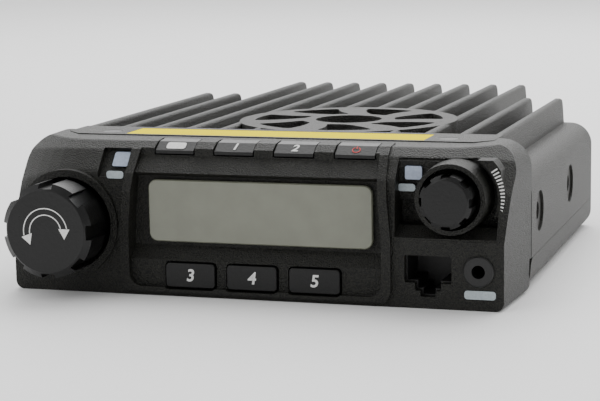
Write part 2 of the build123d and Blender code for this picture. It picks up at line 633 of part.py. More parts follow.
mic_steps = [(MIC_HOLE, MIC_HOLE_Z), (MIC_LATCH, latch_z + 0.5), (MIC_LATCH_LOW, latch_low_z + 0.5)]
mic_window = [rounded(MIC_X, z, grown(size, 0.4), 0.5, -3, 4) for size, z in mic_steps]
data_hole = ring(DATA_X, DATA_Z, DATA_NECK_R + GAP, None, -3, 4)
post_starts = [2.4, 6.2, 2.4, 6.2]
board_posts = [ring(x, z, 2.4, None, start, BOARD_BACK - GAP) for (x, z), start in zip(PANEL_SCREWS, post_starts)]
post_threads = [ring(x, z, M3 / 2, None, BOARD_BACK - BOARD_SCREW_L, 20) for x, z in PANEL_SCREWS]

with BuildPart() as front_bezel:
    add([shell, centre_body, pocket_wall, lamp_seat, collar, plate_boss.part] + board_posts)
    add([recess, plate_seat.part, plate_thread.part, cover_notch, lamp_groove, pocket], mode=Mode.SUBTRACT)
    add([pocket_foot, lamp_block, hood, scale])
    add([hood_bore, collar_bore, lens_seat, lens_window, encoder_hole, pot_hole, data_hole], mode=Mode.SUBTRACT)
    add(low_holes + top_notches + leg_slots + lamp_holes + mic_window + post_threads, mode=Mode.SUBTRACT)
save(front_bezel.part, "front_bezel")

# ---- display -------------------------------------------------------------------------------------------
with BuildPart() as display_lens:
    with BuildSketch(facing(FRONT + LENS_FACE + LENS_T - GAP)):
        with Locations((LENS_X, LENS_Z)):
            RectangleRounded(*LENS_SIZE, LENS_R)
    extrude(amount=LENS_T - GAP)
    chamfer(display_lens.faces().sort_by(Axis.Y)[0].edges(), 0.3)
save(display_lens.part, "display_lens")

lcd_front = WELL_FACE + SKIN + GAP
lcd_size = grown(LENS_SIZE, 0.7)
with BuildPart() as lcd_panel:
    with BuildSketch(facing(FRONT + lcd_front + LCD_T)):
        with Locations((LENS_X, LENS_Z)):
            Rectangle(*lcd_size)
    extrude(amount=LCD_T)
save(lcd_panel.part, "lcd_panel")

with BuildPart() as lcd_backlight:
    with BuildSketch(facing(FRONT + lcd_front + LCD_T + GAP + LIGHT_T)):
        with Locations((LENS_X, LENS_Z)):
            Rectangle(*lcd_size)
    extrude(amount=LIGHT_T)
save(lcd_backlight.part, "lcd_backlight")

mat_left, mat_right = low_key_x[0] - LOW_KEY[0] / 2 - 4, top_key_x[-1] + TOP_LEG[0] / 2 + 2
with BuildPart() as keypad_mat:
    with BuildSketch(facing(FRONT + BOARD_BACK - GAP)):
        with Locations((mat_left, 3.6)):
            Rectangle(mat_right - mat_left, BOARD_TOP - 4.6, align=Align.MIN)
    extrude(amount=MAT_T)
save(keypad_mat.part, "keypad_mat")

with BuildPart() as control_board:
    with BuildSketch(facing(FRONT + BOARD_BACK + BOARD_T)) as board_shape:
        with Locations((0, 3)):
            Rectangle(2 * BOARD_HALF, BOARD_TOP - 3, align=(Align.CENTER, Align.MIN))
        chamfer(board_shape.vertices().group_by(Axis.Y)[-1], 5.0)
        with Locations(*PANEL_SCREWS):
            Circle(M3 / 2 + SCREW_GAP, mode=Mode.SUBTRACT)
    extrude(amount=BOARD_T)
save(control_board.part, "control_board")

# ---- keys ----------------------------------------------------------------------------------------------
key_end = BOARD_BACK - GAP - MAT_T - 0.5 - KEY_TRAVEL
for name, x in zip(LOW_KEY_NAMES, low_key_x):
    # cap, a flange behind the panel's wall, and a stem to the keypad mat
    with BuildPart() as low_key:
        with BuildSketch(facing(FRONT + 3.2)):
            with Locations((x, LOW_KEY_Z)):
                RectangleRounded(*LOW_KEY, KEY_R)
        extrude(amount=3.4)
        fillet(low_key.faces().sort_by(Axis.Y)[0].edges(), 0.4)
        with BuildSketch(facing(FRONT + 3.1 + KEY_FLANGE)):
            with Locations((x, LOW_KEY_Z)):
                Rectangle(LOW_KEY[0] + 2.4, LOW_KEY[1])
        extrude(amount=KEY_FLANGE)
        with BuildSketch(facing(FRONT + key_end)):
            with Locations((x, LOW_KEY_Z)):
                Rectangle(6, 3)
        extrude(amount=key_end - 4)
    save(low_key.part, f"key_{name}")

for name, x in zip(TOP_KEY_NAMES, top_key_x):
    # sloped cap in the notch, a leg down through the slot, and a foot towards the mat
    front, back = FRONT + TOP_KEY_FRONT, FRONT + TOP_KEY_FRONT + TOP_KEY[1]
    with BuildPart() as top_key:
        with BuildSketch(across(x - TOP_KEY[0] / 2)):
            with BuildLine():
                Polyline((front, TOP_KEY_Z), (front, 39.9), (front + 3.4, 42.0), (back, HEIGHT - 0.1), (back, TOP_KEY_Z),
                         close=True)
            make_face()
        extrude(amount=TOP_KEY[0])
        fillet(top_key.edges().filter_by(Axis.X).group_by(Axis.Z)[-1], 0.4)
        with BuildSketch(across(x - TOP_LEG[0] / 2)):
            with Locations((FRONT + TOP_LEG_BACK, 33.4)):
                Rectangle(TOP_LEG[1], TOP_KEY_Z - 33.4 + 0.5, align=Align.MIN)
                Rectangle(key_end - TOP_LEG_BACK, 2.0, align=Align.MIN)
        extrude(amount=TOP_LEG[0])
    save(top_key.part, f"key_{name}")


# ---- rotary controls -----------------------------------------------------------------------------------
def turned(x, z, points):
    """A turned piece about an axis along Y; its profile is (distance behind the panel's front, radius)."""
    with BuildPart() as piece:
        with BuildSketch(Plane(origin=(x, FRONT, z), x_dir=(0, 1, 0), z_dir=(1, 0, 0))):
            with BuildLine():
                Polyline(*points, close=True)
            make_face()
        revolve(axis=Axis((x, 0, z), (0, 1, 0)))
    return piece.part


def knob(x, z, face, back, core, lug_r, lugs, groove, grip):
    """A hollow knob with grip lugs: its face is in front of the panel and its hub is bored for the shaft."""
    body = turned(x, z, [(back, 0), (back, core), (1 - face, core), (-face, core - 1), (-face, 0)])
    hollow = turned(x, z, [(back + 1, SHAFT_R + 2.2), (back + 1, core - 1.8), (4 - face, core - 1.8), (4 - face, SHAFT_R + 2.2)])
    bore = turned(x, z, [(back + 1, 0), (back + 1, SHAFT_R + 0.02), (4 - face, SHAFT_R + 0.02), (4 - face, 0)])
    bevel = turned(x, z, [(-grip, 0), (-grip, lug_r), (lug_r - core - face, lug_r), (-face, core - 0.4), (-face, 0)])
    with BuildPart() as lug_ring:
        with BuildSketch(facing(FRONT - grip)):
            with Locations((x, z)):
                Circle(lug_r)
                with PolarLocations(core + 1.5, lugs):
                    Rectangle(3, groove, mode=Mode.SUBTRACT)
        extrude(amount=face - grip)
        add(bevel, mode=Mode.INTERSECT)
    with BuildPart() as whole:
        add([body, lug_ring.part])
        add([hollow, bore], mode=Mode.SUBTRACT)
    return whole.part


channel_knob = knob(CHANNEL_X, CHANNEL_Z, CHANNEL_FACE, CHANNEL_BACK, CHANNEL_CORE, CHANNEL_R, CHANNEL_LUGS,
                    CHANNEL_GROOVE, CHANNEL_GRIP)
save(channel_knob, "channel_knob")
volume_knob = knob(VOLUME_X, VOLUME_Z, VOLUME_FACE, VOLUME_BACK, VOLUME_CORE, VOLUME_R, VOLUME_LUGS,
                   VOLUME_GROOVE, VOLUME_GRIP)
save(volume_knob, "volume_knob")


def bushed_control(x, z, body, bush_r, bush_front, body_front):
    """A rotary control: a square body with a bush bored for the shaft."""
    back = BOARD_BACK - GAP
    with BuildPart() as control:
        with BuildSketch(facing(FRONT + back)):
            with Locations((x, z)):
                RectangleRounded(*body, 1.0)
        extrude(amount=back - body_front)
        with BuildSketch(facing(FRONT + body_front)):
            with Locations((x, z)):
                Circle(bush_r)
        extrude(amount=body_front - bush_front)
        with BuildSketch(facing(FRONT + back - 1.5)):
            with Locations((x, z)):
                Circle(SHAFT_R + RUN_GAP)
        extrude(amount=40, mode=Mode.SUBTRACT)
    return control.part


def panel_nut(x, z, bush_r, seat):
    """A hexagon nut that clamps a bush to the panel's front."""
    with BuildPart() as nut:
        with BuildSketch(facing(FRONT + seat - GAP)):
            with Locations((x, z)):
                RegularPolygon(bush_r + 2.4, 6)
                Circle(bush_r + GAP / 2, mode=Mode.SUBTRACT)
        extrude(amount=NUT_T)
    return nut.part


encoder_front = COLLAR_FLOOR + SKIN + GAP
pot_front = pocket_back + GAP
save(bushed_control(CHANNEL_X, CHANNEL_Z, ENCODER_BODY, ENCODER_BUSH_R, COLLAR_FLOOR - 2.4, encoder_front), "encoder_body")
save(bushed_control(VOLUME_X, VOLUME_Z, POT_BODY, POT_BUSH_R, POCKET_FLOOR - 2.4, pot_front), "volume_pot")
save(panel_nut(CHANNEL_X, CHANNEL_Z, ENCODER_BUSH_R, COLLAR_FLOOR), "encoder_nut")
save(panel_nut(VOLUME_X, VOLUME_Z, POT_BUSH_R, POCKET_FLOOR), "volume_nut")
shaft_end = BOARD_BACK - GAP - 2.0
save(ring(CHANNEL_X, CHANNEL_Z, SHAFT_R, None, 4.1 - CHANNEL_FACE, shaft_end), "encoder_shaft")
save(ring(VOLUME_X, VOLUME_Z, SHAFT_R, None, 4.1 - VOLUME_FACE, shaft_end), "volume_shaft")

# ---- lamps ---------------------------------------------------------------------------------------------
lens_fronts = ((3.5, 6.6), (4.9, 4.9))
for name, (x, z), (low, high) in zip(("tx_lens", "pwr_lens"), LEDS, lens_fronts):
    # light pipe from the panel's face to the lamp on the front board
    foot, head = z - LED_SIZE[1] / 2, z + LED_SIZE[1] / 2
    with BuildPart() as light_pipe:
        with BuildSketch(across(x - LED_SIZE[0] / 2)):
            with BuildLine():
                Polyline((FRONT + low, foot), (FRONT + high, head), (FRONT + 14, head), (FRONT + 14, foot), close=True)
            make_face()
        extrude(amount=LED_SIZE[0])
        fillet(light_pipe.edges().filter_by(Axis.Y), 0.5)
    save(light_pipe.part, name)

with BuildPart() as indicator_leds:
    with BuildSketch(facing(FRONT + BOARD_BACK - GAP)):
        with Locations(*[(x, BOARD_TOP - 2.4) for x, z in LEDS]):
            Rectangle(2.4, 2.0)
    extrude(amount=1.6)
save(indicator_leds.part, "indicator_leds")

# ---- front jacks ---------------------------------------------------------------------------------------
jack_front = SKIN + GAP
mic_openings = [rounded(MIC_X, z, size, 0.3, 0, jack_front + MIC_PLUG_DEPTH) for size, z in mic_steps]
with BuildPart() as mic_jack:
    with BuildSketch(facing(FRONT + BOARD_BACK - GAP)):
        with Locations((MIC_X, MIC_Z)):
            Rectangle(*MIC_BODY)
    extrude(amount=BOARD_BACK - GAP - jack_front)
    add(mic_openings, mode=Mode.SUBTRACT)
save(mic_jack.part, "mic_jack")

contact_x = [MIC_X + (i - (CONTACTS - 1) / 2) * CONTACT_PITCH for i in range(CONTACTS)]
contact_z = MIC_HOLE_Z + MIC_HOLE[1] / 2 - 0.5
with BuildPart() as mic_jack_contacts:
    with BuildSketch(facing(FRONT + jack_front + MIC_PLUG_DEPTH - 0.05)):
        with Locations(*[(x, contact_z) for x in contact_x]):
            Rectangle(0.5, 0.4)
    extrude(amount=CONTACT_LENGTH)
save(mic_jack_contacts.part, "mic_jack_contacts")

with BuildPart() as data_jack:
    with BuildSketch(facing(FRONT + jack_front + DATA_DEPTH)):
        with Locations((DATA_X, DATA_Z)):
            Rectangle(8.2, 8.6)
    extrude(amount=DATA_DEPTH)
    with BuildSketch(facing(FRONT + jack_front + DATA_DEPTH - 1)):
        with Locations((DATA_X, DATA_Z)):
            Circle(DATA_BORE_R)
    extrude(amount=DATA_DEPTH, mode=Mode.SUBTRACT)
save(data_jack.part, "data_jack")
data_jack_ring = turned(DATA_X, DATA_Z, [
    (-0.7, DATA_BORE_R), (-0.7, DATA_RING_R - 0.3), (-0.4, DATA_RING_R), (-0.1, DATA_RING_R), (-0.1, DATA_NECK_R),
    (SKIN, DATA_NECK_R), (SKIN, DATA_BORE_R)])
save(data_jack_ring, "data_jack_ring")


# ---- speaker -------------------------------------------------------------------------------------------
def spun(x, y, points):
    """A turned piece about an upright axis; its profile is (radius, height)."""
    with BuildPart() as piece:
        with BuildSketch(Plane(origin=(x, y, 0), x_dir=(1, 0, 0), z_dir=(0, -1, 0))):
            with BuildLine():
                Polyline(*points, close=True)
            make_face()
        revolve(axis=Axis((x, y, 0), (0, 0, 1)))
    return piece.part


well_r = DISC_R - WELL_WALL
rim_z = SPEAKER_TOP - 1.5
save(spun(SPEAKER_X, SPEAKER_Y, [(0, SPEAKER_TOP + GAP), (well_r - 0.3, SPEAKER_TOP + GAP),
     (well_r - 0.3, SPEAKER_TOP + GAP + CLOTH_T), (0, SPEAKER_TOP + GAP + CLOTH_T)]), "speaker_cloth")
with BuildPart() as speaker_frame:
    add(spun(SPEAKER_X, SPEAKER_Y, [
        (SPEAKER_R - 2, rim_z), (SPEAKER_R - 1, SPEAKER_TOP), (well_r - GAP, SPEAKER_TOP), (well_r - GAP, rim_z),
        (SPEAKER_R, rim_z - 1), (16, 29.0), (15, 27.6), (9, 27.6), (9, 29.0), (14, 29.6)]))
save(speaker_frame.part, "speaker_frame")
save(spun(SPEAKER_X, SPEAKER_Y, [
    (SPEAKER_R - 2.6, rim_z + 0.6), (SPEAKER_R - 3.6, rim_z + 1), (8, 31.6), (0, 32.8), (0, 32.2), (8, 31), ]), "speaker_cone")
save(spun(SPEAKER_X, SPEAKER_Y, [(0, 21.5), (13.6, 21.5), (14, 22), (14, 27.1), (13.6, 27.5), (0, 27.5)]), "speaker_magnet")

# ---- main board ----------------------------------------------------------------------------------------
board_top = MAIN_BOARD_Z + BOARD_T
with BuildPart() as main_board:
    with BuildSketch(Plane.XY.offset(MAIN_BOARD_Z)):
        with Locations((0, 2)):
            Rectangle(134, BODY_BACK - WALL - 5, align=(Align.CENTER, Align.MIN))
        with Locations((0, 50)):
            Rectangle(2 * (TAIL_HALF - WALL - 1), TAIL_BACK - 63.6, align=(Align.CENTER, Align.MIN))
        with Locations(*COVER_SCREWS):
            Circle(POST_R + 0.5, mode=Mode.SUBTRACT)
        with Locations(*[(1.1 * x, y) for x, y in COVER_SCREWS[:2] + COVER_SCREWS[3:5]]):
            Rectangle(12, 2 * POST_R + 1, mode=Mode.SUBTRACT)
        with Locations(*BOARD_SCREWS):
            Circle(M3 / 2 + SCREW_GAP, mode=Mode.SUBTRACT)
    extrude(amount=BOARD_T)
save(main_board.part, "main_board")

with BuildPart() as shield_can:
    with BuildSketch(Plane.XY.offset(board_top + GAP)):
        with Locations((0, 86)):
            RectangleRounded(58, 26, 1.0)
    extrude(amount=7.0)
    offset(openings=shield_can.faces().sort_by(Axis.Z)[0], amount=-0.5)
save(shield_can.part, "shield_can")

with BuildPart() as filter_coils:
    with Locations(*[(40.0 + 9.5 * i, 62.0, board_top + 2.0) for i in range(3)]):
        Torus(3.0, 1.3)
save(filter_coils.part, "filter_coils")

with BuildPart() as capacitor:
    with Locations((-48, 44, board_top + GAP)):
        Cylinder(5.0, 15.0, align=(Align.CENTER, Align.CENTER, Align.MIN))
    fillet(capacitor.edges().group_by(Axis.Z)[-1], 0.6)
save(capacitor.part, "capacitor")

with BuildPart() as voltage_regulator:
    with Locations((-48, 66, board_top + GAP)):
        Box(10.2, 4.6, 9.0, align=(Align.CENTER, Align.CENTER, Align.MIN))
    with Locations((-48, 67.6, board_top + GAP)):
        Box(10.2, 1.4, 15.6, align=(Align.CENTER, Align.CENTER, Align.MIN))
save(voltage_regulator.part, "voltage_regulator")

module_top = ROOF_Z - GAP
with BuildPart() as power_module:
    with Locations((0, MODULE_Y, module_top)):
        Box(POWER_MODULE[0], POWER_MODULE[1], 3.0, align=(Align.CENTER, Align.CENTER, Align.MAX))
        Box(POWER_MODULE[0] - 15, POWER_MODULE[1] - 2, POWER_MODULE[2], align=(Align.CENTER, Align.CENTER, Align.MAX))
    with Locations(*[(x, MODULE_Y, module_top) for x in MODULE_SCREW_X]):
        Hole(M3 / 2 + SCREW_GAP, depth=5)
save(power_module.part, "power_module")

# the flat cable and its two headers
header_z = board_top + GAP
board_rear = BOARD_BACK + BOARD_T
cable_x = (-30.0, -12.0)
save(Compound(children=[
    bar(cable_x[0] - 1, cable_x[1] + 1, FRONT + board_rear + GAP, FRONT + board_rear + 4, 18, 22),
    bar(cable_x[0] - 1, cable_x[1] + 1, 4, 8, header_z, header_z + 4)]), "cable_headers")
with BuildPart() as flat_cable:
    with BuildSketch(across(cable_x[0])):
        with BuildLine():
            Polyline((FRONT + board_rear + 4.1, 20), (1, 20), (6, 17), (6, header_z + 4.1))
        trace(line_width=0.4)
    extrude(amount=cable_x[1] - cable_x[0])
save(flat_cable.part, "flat_cable")

# ---- rear fittings -------------------------------------------------------------------------------------
rear = PANEL_DEPTH + BODY_BACK
wall_in = rear - WALL
save(turned(SOCKET_X, SOCKET_Z, [
    (wall_in - 3.2, 5.2), (wall_in - 3.2, SOCKET_BUSH_R), (rear + GAP, SOCKET_BUSH_R), (rear + GAP, SOCKET_FLANGE_R),
    (rear + 2, SOCKET_FLANGE_R), (rear + 2, SOCKET_THREAD_R), (rear + SOCKET_LENGTH - 0.6, SOCKET_THREAD_R),
    (rear + SOCKET_LENGTH, SOCKET_THREAD_R - 0.6), (rear + SOCKET_LENGTH, 6.2), (rear + 6, 6.2), (rear + 6, 5.2)]),
    "antenna_socket")
save(turned(SOCKET_X, SOCKET_Z, [
    (wall_in - 3, 2.2), (wall_in - 3, 5.1), (rear + 8, 5.1), (rear + 8, 2.2)]), "antenna_insulator")
save(turned(SOCKET_X, SOCKET_Z, [
    (wall_in - 3.2, 0), (wall_in - 3.2, 2.1), (rear + 12, 2.1), (rear + 12, 1.95), (rear + 2, 1.95), (rear + 2, 0)]),
    "antenna_contact")
save(turned(GLAND_X, GLAND_Z, [
    (wall_in - 2, LEAD_R), (wall_in - 2, GLAND_R - 0.6), (wall_in - GAP, GLAND_R - 0.6), (wall_in - GAP, GLAND_NECK_R),
    (rear + GAP, GLAND_NECK_R), (rear + GAP, GLAND_R), (rear + 2, GLAND_R), (rear + 3, GLAND_R - 1), (rear + 3, LEAD_R)]),
    "dc_lead_gland")
with BuildPart() as antenna_nut:
    with BuildSketch(facing(FRONT + wall_in - GAP)):
        with Locations((SOCKET_X, SOCKET_Z)):
            RegularPolygon(SOCKET_BUSH_R + 3.0, 6)
            Circle(SOCKET_BUSH_R + GAP / 2, mode=Mode.SUBTRACT)
    extrude(amount=2.4)
save(antenna_nut.part, "antenna_nut")
with BuildPart() as rear_speaker_jack:
    with BuildSketch(facing(FRONT + wall_in - GAP)):
        with Locations((REAR_JACK_X, REAR_JACK_Z)):
            Rectangle(9, 9)
    extrude(amount=12)
    with BuildSketch(facing(FRONT + wall_in - 1)):
        with Locations((REAR_JACK_X, REAR_JACK_Z)):
            Circle(JACK_BUSH_R)
    extrude(amount=-(WALL + 3.5))
    with BuildSketch(facing(FRONT + rear + 5)):
        with Locations((REAR_JACK_X, REAR_JACK_Z)):
            Circle(DATA_BORE_R)
    extrude(amount=16, mode=Mode.SUBTRACT)
save(rear_speaker_jack.part, "rear_speaker_jack")
with BuildPart() as rear_jack_nut:
    with BuildSketch(facing(FRONT + rear + GAP + 1.8)):
        with Locations((REAR_JACK_X, REAR_JACK_Z)):
            RegularPolygon(REAR_NUT_R, 6)
            Circle(JACK_BUSH_R + GAP / 2, mode=Mode.SUBTRACT)
    extrude(amount=1.8)
save(rear_jack_nut.part, "rear_jack_nut")


# ---- screws --------------------------------------------------------------------------------------------
def flat_screw(length, head_r):
    """A countersunk screw that points down, its head's top at the origin."""
    cone = (head_r - SHANK_R) * 1.15
    return spun(0, 0, [(0, 0), (head_r, 0), (SHANK_R, -cone), (SHANK_R, -length), (0, -length)])


def pan_screw(length):
    """A pan-head screw that points down, its head's underside at the origin."""
    return spun(0, 0, [(0, HEAD_T), (2.4, HEAD_T), (COVER_HEAD_R, HEAD_T - 0.4), (COVER_HEAD_R, 0), (SHANK_R, 0),
                       (SHANK_R, -length), (0, -length)])


plate_screw = flat_screw(PLATE_SCREW_L, PLATE_HEAD_R - 0.05)
cover_screw = flat_screw(COVER_SCREW_L, COVER_HEAD_R - 0.05)
board_screw = pan_screw(BOARD_SCREW_L - 1)
module_screw = pan_screw(3.0 + ROOF_HOLE - 0.4)
FACE_UP = Rot(180, 0, 0)
save(Compound(children=[Pos(x, y, HEIGHT - 0.05) * plate_screw for x, y in PLATE_SCREWS]), "plate_screws")
save(Compound(children=[Pos(x, y, 0.05) * FACE_UP * cover_screw for x, y in COVER_SCREWS]), "cover_screws")
save(Compound(children=[Pos(x, MODULE_Y, module_top - 3 - GAP) * FACE_UP * module_screw for x in MODULE_SCREW_X]),
     "module_screws")
main_board_screws = [Pos(x, y, MAIN_BOARD_Z - GAP) * FACE_UP * board_screw for x, y in BOARD_SCREWS]
panel_screws = [Pos(x, FRONT + board_rear + GAP, z) * Rot(-90, 0, 0) * board_screw for x, z in PANEL_SCREWS]
save(Compound(children=main_board_screws + panel_screws), "board_screws")
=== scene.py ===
import json
from math import atan2, cos, pi, radians, sin

import bmesh
import bpy
from bpy.props import FloatProperty, FloatVectorProperty, PointerProperty
from mathutils import Matrix, Vector


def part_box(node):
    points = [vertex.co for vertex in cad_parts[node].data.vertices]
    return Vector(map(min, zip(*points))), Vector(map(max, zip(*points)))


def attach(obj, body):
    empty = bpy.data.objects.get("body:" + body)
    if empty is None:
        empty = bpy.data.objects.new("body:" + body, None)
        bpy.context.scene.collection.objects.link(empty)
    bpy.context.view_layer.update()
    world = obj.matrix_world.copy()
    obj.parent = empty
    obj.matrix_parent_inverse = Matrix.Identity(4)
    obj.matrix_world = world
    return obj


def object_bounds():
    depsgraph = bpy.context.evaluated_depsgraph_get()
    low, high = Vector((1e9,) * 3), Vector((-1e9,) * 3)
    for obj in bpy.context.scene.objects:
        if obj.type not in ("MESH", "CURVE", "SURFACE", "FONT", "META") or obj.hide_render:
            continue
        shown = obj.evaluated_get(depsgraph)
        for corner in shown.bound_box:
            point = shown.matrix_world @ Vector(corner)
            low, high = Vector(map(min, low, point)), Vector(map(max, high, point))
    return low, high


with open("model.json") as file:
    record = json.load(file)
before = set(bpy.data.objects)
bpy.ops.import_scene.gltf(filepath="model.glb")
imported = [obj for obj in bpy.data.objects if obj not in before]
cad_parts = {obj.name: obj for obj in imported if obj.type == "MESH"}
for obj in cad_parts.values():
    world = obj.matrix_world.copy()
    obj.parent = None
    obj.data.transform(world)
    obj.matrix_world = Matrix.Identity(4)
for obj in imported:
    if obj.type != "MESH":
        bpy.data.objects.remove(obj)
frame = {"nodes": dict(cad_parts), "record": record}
cad_low, cad_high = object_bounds()

bl_info = {
    "name": "Compact mobile transceiver",
    "version": (1, 0, 0),
    "blender": (4, 5, 0),
    "location": "3D View > Sidebar > Transceiver",
    "description": "Finishes, legends and studio for a finned vehicle-mount transceiver",
    "category": "Object",
}

MM = 0.001

# prints, in millimetres
SKIN = 0.05                # thickness of a print
SKIN_GAP = 0.01            # between a print and a sloped key
PRINT_BOLD = 0.1           # widens each stroke of a number
PRINT_LEAN = 0.15          # shear of the numbers
CAPITAL_SHARE = 0.7        # height of a number as a share of the font's size
MERGE_GAP = 0.001          # points of an outline nearer than this are one

# top keys' sloped fronts, in millimetres
SLOPE_RISE = 2.1
SLOPE_RUN = 3.4
SLOPE_DROP = 2.4           # from the key's top down to the slope's foot
SLOPE_MIDDLE = (1.75, 1.1)   # a print's middle, back from the front and up from the foot

# marks on the top keys, in millimetres
MENU_BLOCK = (5.6, 2.7)
MENU_ROUNDING = 0.7
POWER_RADIUS = 1.05
POWER_LINE = 0.32
POWER_STEM = 1.1
POWER_STEM_MIDDLE = 0.95
POWER_START = radians(120)
POWER_SWEEP = radians(300)

# arrows on the channel knob, in millimetres
ARROW_RADIUS = 5.6
ARROW_RAIL = 0.9           # each of the two lines lies this far from the middle one
ARROW_LINE = 0.28
ARROW_HEAD = 1.9
ARROW_START = radians(10)
ARROW_SWEEP = radians(180)
ARROW_LEAD = radians(10)   # the heads stand this far past the lines' ends

# scale round the volume knob, in millimetres
SCALE_STROKES = 14
SCALE_START = -18          # degrees
SCALE_STEP = 4             # degrees
SCALE_RADIUS = 13.2
SCALE_SHORTEST = 0.6
SCALE_GROWTH = 0.1         # each stroke is this much longer than the one before
SCALE_LINE = 0.4
SCALE_BACK = 5.0           # the scale's face lies this far behind the panel's foremost point

# blank pads, in millimetres: name, middle across and up, size, and depth behind the panel's front
PADS = (
    ("badge_transmit", (-39.3, 33.4), (5.0, 2.1), 0.75),
    ("badge_power", (43.0, 31.7), (4.8, 2.0), 5.0),
)
DATA_PAD = (8.4, 2.3)
DATA_PAD_ASIDE = 0.4       # to the right of the data jack
DATA_PAD_HEIGHT = 4.3
DATA_PAD_BACK = -0.1
PANEL_FRONT = 1.0          # the panel's flat front lies this far behind its foremost point
PAD_THICKNESS = 0.24
PAD_ROUNDING = 0.8

TONE_STOPS = (0.35, 0.65)  # where a finish's two tones begin along its noise

# curved outlines
ARC_STEP = radians(8)
ARC_FEWEST = 4
CORNER_SEGMENTS = 5

# studio, in metres
FLOOR_HALF = 3.0
FLOOR_ROUGHNESS = 0.6
SHADE_FROM = (-0.7, 0.5)   # the surround's shade runs between these two directions along Y
SHADE_TO = (0.3, 1.0)
LIGHT_AIM = (0, 0.03, 0.02)
OVERHEAD_PLACE = (0.05, 0.75, 0.95)
OVERHEAD_SIZE = 1.3
FRONT_PLACE = (-0.7, -0.9, 0.8)
FRONT_SIZE = 0.7
CAMERA_PLACE = (0.1612, -0.4963, 0.1054)
CAMERA_TURN = radians(17.39)
CAMERA_LIFT = radians(8.97)
CAMERA_ROLL = radians(-0.87)
CAMERA_LENS = 110.6        # millimetres
CAMERA_SENSOR = 36         # millimetres
CAMERA_NEAREST = 0.01


# ---- materials -----------------------------------------------------------------------------------------
def linear(code):
    """An sRGB hex colour as linear red, green, blue and alpha."""
    parts = [int(code[i:i + 2], 16) / 255 for i in (1, 3, 5)]
    return tuple([p / 12.92 if p <= 0.04045 else ((p + 0.055) / 1.055) ** 2.4 for p in parts] + [1.0])


def add_node(tree, kind, settings=None, **links):
    """Adds a node with its settings, and links its named inputs."""
    made = tree.nodes.new(kind)
    for name, value in (settings or {}).items():
        if name in made.inputs:
            made.inputs[name].default_value = value
        else:
            setattr(made, name, value)
    for name, source in links.items():
        tree.links.new(source, made.inputs[name])
    return made


def surface(name, colours, rough, grain, relief, metallic=0.0, coat=0.0, level=0.5, detail=3.0):
    """A finish whose tone, gloss and relief vary over grains of a real size in millimetres."""
    material = bpy.data.materials.new(name)
    material.use_nodes = True
    tree = material.node_tree
    shader = tree.nodes["Principled BSDF"]
    shader.inputs["Metallic"].default_value = metallic
    shader.inputs["Coat Weight"].default_value = coat
    shader.inputs["Specular IOR Level"].default_value = level
    place = add_node(tree, "ShaderNodeTexCoord")
    noise = add_node(
        tree, "ShaderNodeTexNoise", {"Scale": 1 / (grain * MM), "Detail": detail}, Vector=place.outputs["Object"]
    )
    tone = add_node(tree, "ShaderNodeValToRGB", Fac=noise.outputs["Fac"])
    for stop, position, code in zip(tone.color_ramp.elements, TONE_STOPS, colours):
        stop.position = position
        stop.color = linear(code)
    gloss = add_node(
        tree, "ShaderNodeMapRange", {"To Min": rough[0], "To Max": rough[1]}, Value=noise.outputs["Fac"]
    )
    bump = add_node(
        tree, "ShaderNodeBump", {"Strength": relief, "Distance": grain * MM}, Height=noise.outputs["Fac"]
    )
    tree.links.new(tone.outputs["Color"], shader.inputs["Base Color"])
    tree.links.new(gloss.outputs["Result"], shader.inputs["Roughness"])
    tree.links.new(bump.outputs["Normal"], shader.inputs["Normal"])
    return material


